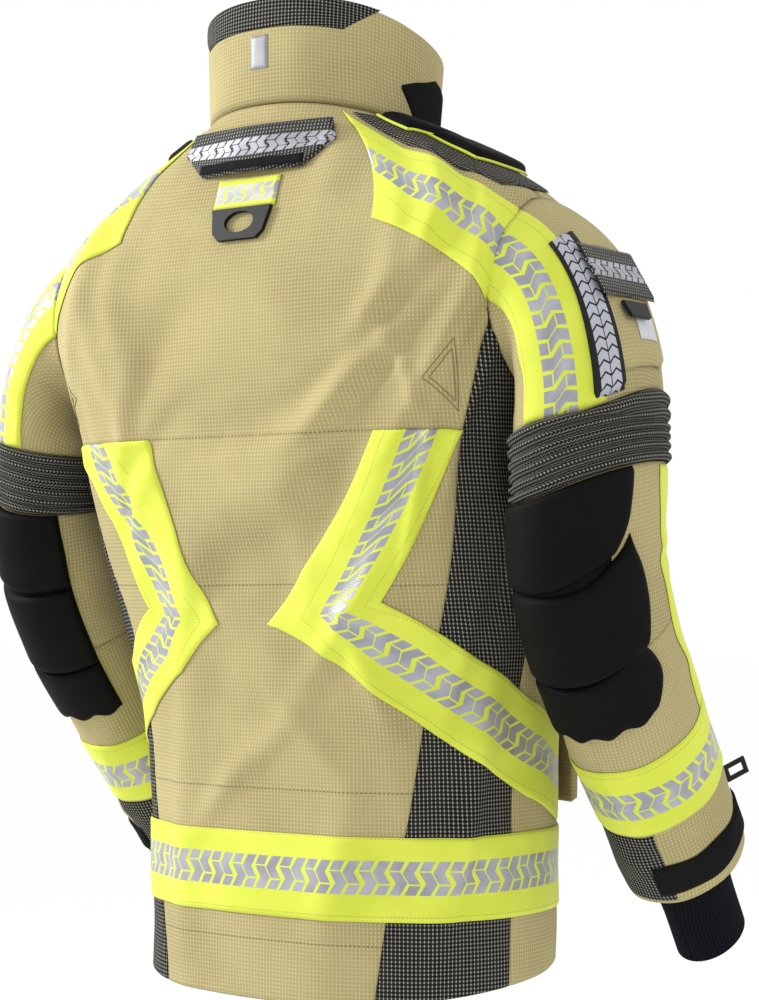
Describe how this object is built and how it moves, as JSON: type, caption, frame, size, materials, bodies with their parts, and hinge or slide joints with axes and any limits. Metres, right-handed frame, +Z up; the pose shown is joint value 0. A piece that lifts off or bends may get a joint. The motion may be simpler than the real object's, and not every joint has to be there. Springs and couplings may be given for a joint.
{
  "type": "turnout coat",
  "caption": "Hip-length firefighting coat with standing collar, bellows sleeves, padded elbows, reflective tapes, drag-rescue loop and knit wristlets.",
  "frame": {"origin": "on the coat's centre line at the level of the back hem, the reference point of the wearer's trunk", "axes": "+Z up along the wearer's body, +Y towards the back of the coat, wearer's right side on -X"},
  "size_m": [0.7446, 0.3867, 0.9129],
  "materials": {
    "khaki": "woven aramid ripstop",
    "dark": "dark ripstop with pale grid",
    "neon": "fluorescent tape with silver segments",
    "pad": "coated padded cloth",
    "knit": "rib knit",
    "plastic": "moulded",
    "liner": "quilted lining",
    "patch": "plain woven patch",
    "webbing": "webbing"
  },
  "bodies": {
    "coat": {"back_panel": "khaki", "chevron_tape_left": "neon", "chevron_tape_right": "neon", "collar": "khaki", "collar_loop_patch": "pad", "front_panel_left": "khaki", "front_panel_right": "khaki", "hanger_loop": "webbing", "hem_tape": "neon", "liner": "liner", "lower_left_pocket": "khaki", "lower_right_pocket": "khaki", "shoulder_pad_inner_left": "pad", "shoulder_pad_inner_right": "pad", "shoulder_pad_outer_left": "pad", "shoulder_pad_outer_right": "pad", "shoulder_piece_left": "dark", "shoulder_piece_right": "dark", "shoulder_tape_left": "neon", "shoulder_tape_right": "neon", "side_panel_left": "dark", "side_panel_right": "dark", "storm_flap": "khaki", "zip": "plastic"},
    "right_sleeve": {"bellows_right": "dark", "elbow_pad_1_right": "pad", "elbow_section_right": "khaki", "front_tape_right": "neon", "sleeve_cap_right": "khaki", "sleeve_label_patch": "patch", "sleeve_pocket": "khaki", "sleeve_tape_right": "neon"},
    "left_sleeve": {"bellows_left": "dark", "elbow_pad_1_left": "pad", "elbow_section_left": "khaki", "front_tape_left": "neon", "sleeve_cap_left": "khaki", "sleeve_tape_left": "neon"},
    "right_forearm": {"cuff_ring_right": "plastic", "elbow_pad_2_right": "pad", "elbow_pad_3_right": "pad", "forearm_right": "khaki", "forearm_tape_right": "neon", "wristlet_right": "knit"},
    "left_forearm": {"cuff_ring_left": "plastic", "elbow_pad_2_left": "pad", "elbow_pad_3_left": "pad", "forearm_left": "khaki", "forearm_tape_left": "neon", "wristlet_left": "knit"},
    "yoke_flap": {"yoke_flap": "dark"},
    "drag_loop": {"drag_tab": "neon", "drag_handle": "plastic"},
    "arm_pocket_flap": {"sleeve_pocket_flap": "dark", "sleeve_pocket_grip": "plastic"},
    "lower_right_flap": {"lower_right_flap": "dark"},
    "lower_left_flap": {"lower_left_flap": "dark"},
    "throat_tab": {"throat_tab": "dark"},
    "right_cuff_strap": {"cuff_strap_right": "pad"},
    "left_cuff_strap": {"cuff_strap_left": "pad"}
  },
  "joints": [
    {"name": "right_shoulder", "type": "hinge", "parent": "coat", "child": "right_sleeve", "pos_m": [-0.25, 0.05, 0.7], "axis": [0, 1, 0], "range_deg": [0, 30], "deforming": ["sleeve_cap_right", "sleeve_tape_right"]},
    {"name": "right_elbow", "type": "hinge", "parent": "right_sleeve", "child": "right_forearm", "pos_m": [-0.3012, 0.0405, 0.345], "axis": [-1, 0, 0], "range_deg": [0, 40], "deforming": ["elbow_section_right", "front_tape_right"]},
    {"name": "right_cuff_strap_peel", "type": "hinge", "parent": "right_forearm", "child": "right_cuff_strap", "pos_m": [-0.3033, -0.0517, 0.1065], "axis": [0.0233, -0.5995, -0.8], "range_deg": [0, 55]},
    {"name": "left_shoulder", "type": "hinge", "parent": "coat", "child": "left_sleeve", "pos_m": [0.25, 0.05, 0.7], "axis": [0, -1, 0], "range_deg": [0, 30], "deforming": ["sleeve_cap_left", "sleeve_tape_left"]},
    {"name": "left_elbow", "type": "hinge", "parent": "left_sleeve", "child": "left_forearm", "pos_m": [0.3012, 0.0405, 0.345], "axis": [-1, 0, 0], "range_deg": [0, 40], "deforming": ["elbow_section_left", "front_tape_left"]},
    {"name": "left_cuff_strap_peel", "type": "hinge", "parent": "left_forearm", "child": "left_cuff_strap", "pos_m": [0.3033, -0.0517, 0.1065], "axis": [0.0233, 0.5995, 0.8], "range_deg": [0, 55]},
    {"name": "yoke_flap_lift", "type": "hinge", "parent": "coat", "child": "yoke_flap", "pos_m": [0, 0.1455, 0.7986], "axis": [1, 0, 0], "range_deg": [0, 60]},
    {"name": "drag_loop_swing", "type": "hinge", "parent": "coat", "child": "drag_loop", "pos_m": [0, 0.1557, 0.7465], "axis": [1, 0, 0], "range_deg": [0, 50]},
    {"name": "arm_pocket_flap_lift", "type": "hinge", "parent": "right_sleeve", "child": "arm_pocket_flap", "pos_m": [-0.3152, 0.0575, 0.6658], "axis": [0, 1, 0], "range_deg": [0, 75]},
    {"name": "lower_right_flap_lift", "type": "hinge", "parent": "coat", "child": "lower_right_flap", "pos_m": [-0.142, -0.1277, 0.3278], "axis": [-0.8918, 0.4524, 0], "range_deg": [0, 100]},
    {"name": "lower_left_flap_lift", "type": "hinge", "parent": "coat", "child": "lower_left_flap", "pos_m": [0.142, -0.1277, 0.3278], "axis": [-0.8918, -0.4524, 0], "range_deg": [0, 100]},
    {"name": "throat_tab_peel", "type": "hinge", "parent": "coat", "child": "throat_tab", "pos_m": [0.0488, -0.0444, 0.8], "axis": [0.029, -0.098, 0.9948], "range_deg": [0, 60]}
  ]
}
